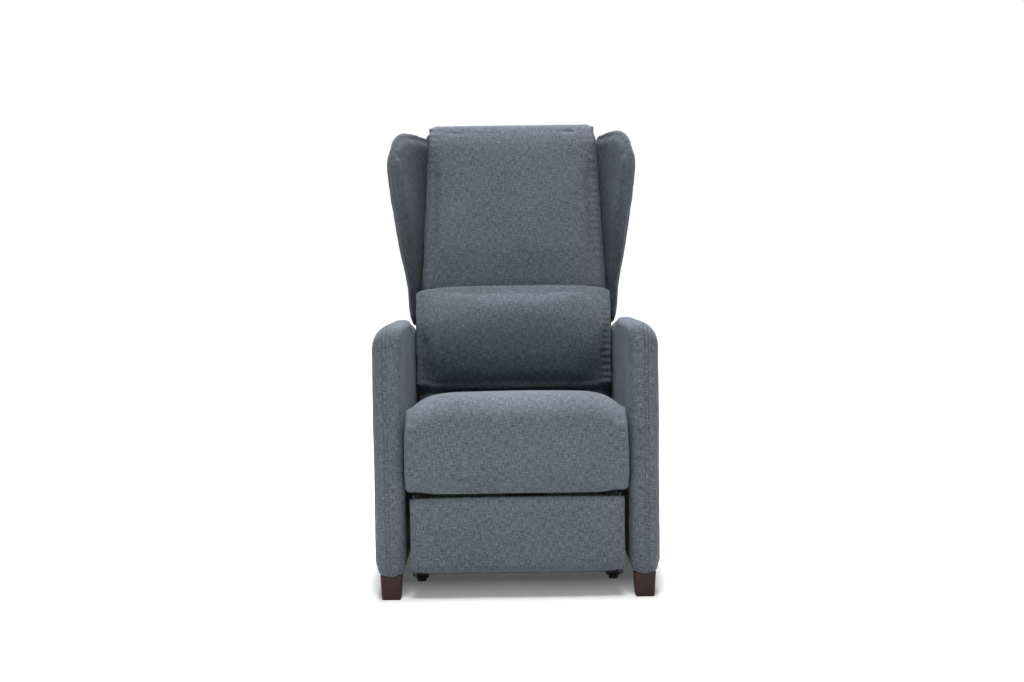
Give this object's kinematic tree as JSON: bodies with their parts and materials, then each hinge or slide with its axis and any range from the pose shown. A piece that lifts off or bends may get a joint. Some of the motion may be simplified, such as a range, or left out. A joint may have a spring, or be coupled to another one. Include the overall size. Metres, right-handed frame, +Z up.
{
  "type": "lift recliner",
  "caption": "Upholstered wing-back lift recliner with padded arms, loose-look lumbar and seat cushions, fold-out footrest, reclining back and a steel stand-up lift frame.",
  "frame": {"origin": "on the floor, at the middle of the chair's outline", "axes": "+X to the right as seen from the front, +Y to the rear, +Z up; the front faces -Y"},
  "size_m": [0.66, 0.7962, 1.1383],
  "materials": {
    "upholstery": "blue-grey heathered weave",
    "leg_wood": "dark brown stain",
    "frame_wood": "unfinished plywood and pine",
    "black_steel": "black powder coat",
    "zinc_steel": "zinc plated",
    "black_plastic": "moulded",
    "rubber": "matte",
    "webbing": "woven strap"
  },
  "bodies": {
    "base": {"base_frame": "black_steel", "base_glides": "rubber", "base_pivot_pins": "zinc_steel", "control_box": "black_plastic", "lift_actuator_housing": "black_plastic", "lift_actuator_motor": "black_plastic", "lift_actuator_pin": "zinc_steel"},
    "lift_front": {"lift_torque_shaft": "black_steel", "lift_front_links": "black_steel"},
    "lift_rear": {"lift_rear_links": "black_steel"},
    "lift_rod": {"lift_actuator_rod": "zinc_steel"},
    "carriage": {"side_plate_left": "black_steel", "side_plate_right": "black_steel", "lift_pivot_pins": "zinc_steel", "footrest_pivot_pins": "zinc_steel", "cross_tube_front": "black_steel", "cross_tube_rear": "black_steel", "back_actuator_housing": "black_plastic", "back_actuator_motor": "black_plastic", "back_actuator_pin": "zinc_steel", "seat_side_rail_left": "frame_wood", "seat_side_rail_right": "frame_wood", "seat_cross_rails": "frame_wood", "seat_springs": "zinc_steel", "spring_clips": "black_plastic", "arm_cover_left": "upholstery", "arm_cover_right": "upholstery", "arm_core_left": "frame_wood", "arm_core_right": "frame_wood", "frame_bolts": "zinc_steel", "leg_front_left": "leg_wood", "leg_front_right": "leg_wood", "leg_rear_left": "leg_wood", "leg_rear_right": "leg_wood", "rear_panel": "upholstery", "seat_cushion": "upholstery", "back_hinge_pins": "zinc_steel"},
    "back": {"back_frame": "frame_wood", "back_webbing": "webbing", "back_hinge_brackets": "black_steel", "back_crank": "black_steel", "back_cover": "upholstery", "back_cushion": "upholstery", "lumbar_cushion": "upholstery", "wing_left": "upholstery", "wing_right": "upholstery"},
    "back_rod": {"back_actuator_rod": "zinc_steel"},
    "footrest_main": {"footrest_main_links": "black_steel", "footrest_drive_tube": "black_steel", "footrest_main_pins": "zinc_steel"},
    "footrest_cross": {"footrest_cross_links": "black_steel", "footrest_guide_pins": "zinc_steel"},
    "footrest_second": {"footrest_second_links": "black_steel"},
    "footrest_guide": {"footrest_guide_links": "black_steel"},
    "ottoman": {"footrest_brackets": "black_steel", "footrest_bracket_pins": "zinc_steel", "footrest_screws": "zinc_steel", "footrest_board": "frame_wood", "footrest_pad": "upholstery"}
  },
  "joints": [
    {"name": "lift", "type": "hinge", "parent": "base", "child": "lift_front", "pos_m": [0, -0.1873, 0.0754], "axis": [1, 0, 0], "range_deg": [0, 52.13]},
    {"name": "lift_carriage", "type": "hinge", "parent": "lift_front", "child": "carriage", "pos_m": [0, 0.0233, 0.0846], "axis": [1, 0, 0], "range_deg": [-32.21, 0.05]},
    {"name": "lift_rear_turn", "type": "hinge", "parent": "base", "child": "lift_rear", "pos_m": [0, -0.1344, 0.1042], "axis": [1, 0, 0], "range_deg": [-0.05, 44.37]},
    {"name": "lift_push", "type": "slide", "parent": "base", "child": "lift_rod", "axis": [0, -1, 0], "range_m": [0, 0.07929]},
    {"name": "recline", "type": "hinge", "parent": "carriage", "child": "back", "pos_m": [0, 0.185, 0.33], "axis": [-1, 0, 0], "range_deg": [0, 38]},
    {"name": "recline_pull", "type": "slide", "parent": "carriage", "child": "back_rod", "axis": [0, -1, 0], "range_m": [0, 0.04578]},
    {"name": "footrest", "type": "hinge", "parent": "carriage", "child": "footrest_main", "pos_m": [0, -0.285, 0.227], "axis": [-1, 0, 0], "range_deg": [0, 84]},
    {"name": "footrest_cross_turn", "type": "hinge", "parent": "footrest_main", "child": "footrest_cross", "pos_m": [0, -0.30309, 0.09827], "axis": [-1, 0, 0], "range_deg": [-84.05, 0.05]},
    {"name": "footrest_second_turn", "type": "hinge", "parent": "footrest_main", "child": "footrest_second", "pos_m": [0, -0.31019, 0.04776], "axis": [-1, 0, 0], "range_deg": [-84.05, 0.05]},
    {"name": "footrest_guide_turn", "type": "hinge", "parent": "carriage", "child": "footrest_guide", "pos_m": [0, -0.263, 0.209], "axis": [-1, 0, 0], "range_deg": [-0.05, 84.05]},
    {"name": "footrest_board_turn", "type": "hinge", "parent": "footrest_cross", "child": "ottoman", "pos_m": [0, -0.3377, 0.20478], "axis": [-1, 0, 0], "range_deg": [-0.05, 84.05]}
  ],
  "couplings": [
    {"joint": "lift_carriage", "follows": "lift", "ratio": -0.61688},
    {"joint": "lift_rear_turn", "follows": "lift", "ratio": 0.85026},
    {"joint": "lift_push", "follows": "lift", "m_per_rad": 0.086928},
    {"joint": "recline_pull", "follows": "recline", "m_per_rad": 0.068724},
    {"joint": "footrest_cross_turn", "follows": "footrest", "ratio": -1},
    {"joint": "footrest_second_turn", "follows": "footrest", "ratio": -1},
    {"joint": "footrest_guide_turn", "follows": "footrest", "ratio": 1},
    {"joint": "footrest_board_turn", "follows": "footrest", "ratio": 1}
  ]
}
